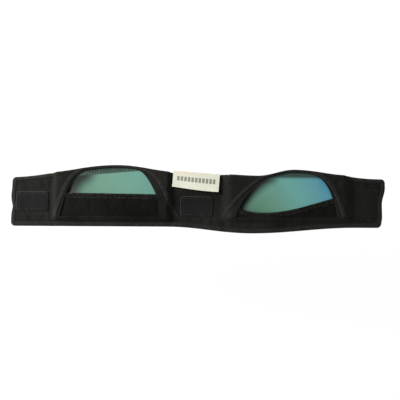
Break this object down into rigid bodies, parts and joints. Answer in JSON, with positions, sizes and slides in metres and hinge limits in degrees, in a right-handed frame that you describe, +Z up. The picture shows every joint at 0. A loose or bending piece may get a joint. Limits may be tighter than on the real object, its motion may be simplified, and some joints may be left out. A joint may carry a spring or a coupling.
{
  "type": "wrist guard",
  "caption": "Padded fabric wrap band for the wrist with two arch-fronted pockets that hold removable gel inserts, a folded woven label and hook-and-loop end tabs.",
  "frame": {"origin": "below the middle of the whole band's box, in the plane that its lining lies on", "axes": "+X along the band, from the loop-patch tab to the hook-patch tab; +Y across it, towards the edge with the label and the pocket mouths; +Z up through the layers, from lining to outer cloth"},
  "size_m": [0.298, 0.0538, 0.0088],
  "materials": {
    "outer_cloth": "black woven nylon, matt",
    "lining_knit": "black brushed knit",
    "core_foam": "black cut foam",
    "binding_tape": "black grosgrain tape with a faint sheen",
    "pocket_cloth": "black stretch cloth, matt",
    "loop_pile": "black loop pile",
    "hook_tape": "black moulded hook tape",
    "thread": "black thread",
    "label_cloth": "off-white woven satin",
    "insert_film": "satin translucent film, green shading to blue",
    "insert_gel": "blue-green gel"
  },
  "bodies": {
    "centre": {"centre_lining": "lining_knit", "centre_core": "core_foam", "centre_outer": "outer_cloth", "centre_top_binding": "binding_tape", "centre_bottom_binding": "binding_tape", "centre_patch": "loop_pile", "centre_patch_stitching": "thread", "label_seam_end": "label_cloth"},
    "label": {"label_leaf": "label_cloth"},
    "left_section": {"left_lining": "lining_knit", "left_core": "core_foam", "left_outer": "outer_cloth", "left_top_binding": "binding_tape", "left_bottom_binding": "binding_tape", "left_arch_binding": "binding_tape", "left_pocket_front": "pocket_cloth", "left_pocket_hem": "binding_tape", "left_hem_stitching": "thread"},
    "left_insert": {"left_insert_back_film": "insert_film", "left_insert_front_film": "insert_film", "left_insert_gel": "insert_gel"},
    "left_tab": {"left_tab_lining": "lining_knit", "left_tab_core": "core_foam", "left_tab_outer": "outer_cloth", "left_tab_binding": "binding_tape", "left_tab_patch": "loop_pile", "left_tab_stitching": "thread"},
    "right_section": {"right_lining": "lining_knit", "right_core": "core_foam", "right_outer": "outer_cloth", "right_top_binding": "binding_tape", "right_bottom_binding": "binding_tape", "right_arch_binding": "binding_tape", "right_pocket_front": "pocket_cloth", "right_pocket_hem": "binding_tape", "right_hem_stitching": "thread"},
    "right_insert": {"right_insert_back_film": "insert_film", "right_insert_front_film": "insert_film", "right_insert_gel": "insert_gel"},
    "right_tab": {"right_tab_lining": "lining_knit", "right_tab_core": "core_foam", "right_tab_outer": "outer_cloth", "right_tab_binding": "binding_tape", "right_tab_hook_patch": "hook_tape", "right_tab_stitching": "thread"}
  },
  "joints": [
    {"name": "left_wrap_fold", "type": "hinge", "parent": "centre", "child": "left_section", "pos_m": [-0.0212, 0, 0], "axis": [0, -1, 0], "range_deg": [-15, 90]},
    {"name": "left_tab_fold", "type": "hinge", "parent": "left_section", "child": "left_tab", "pos_m": [-0.1162, 0, 0], "axis": [0, -1, 0], "range_deg": [-15, 90]},
    {"name": "right_wrap_fold", "type": "hinge", "parent": "centre", "child": "right_section", "pos_m": [0.0212, 0, 0], "axis": [0, 1, 0], "range_deg": [-15, 90]},
    {"name": "right_tab_fold", "type": "hinge", "parent": "right_section", "child": "right_tab", "pos_m": [0.1222, 0, 0], "axis": [0, 1, 0], "range_deg": [-15, 90]},
    {"name": "left_insert_slide", "type": "slide", "parent": "left_section", "child": "left_insert", "axis": [0, 1, 0], "range_m": [0, 0.045]},
    {"name": "right_insert_slide", "type": "slide", "parent": "right_section", "child": "right_insert", "axis": [0, 1, 0], "range_m": [0, 0.042]},
    {"name": "label_lift", "type": "hinge", "parent": "centre", "child": "label", "pos_m": [-0.0012, 0.0205, 0.005], "axis": [-0.9968, 0.0802, 0], "range_deg": [0, 160]}
  ]
}
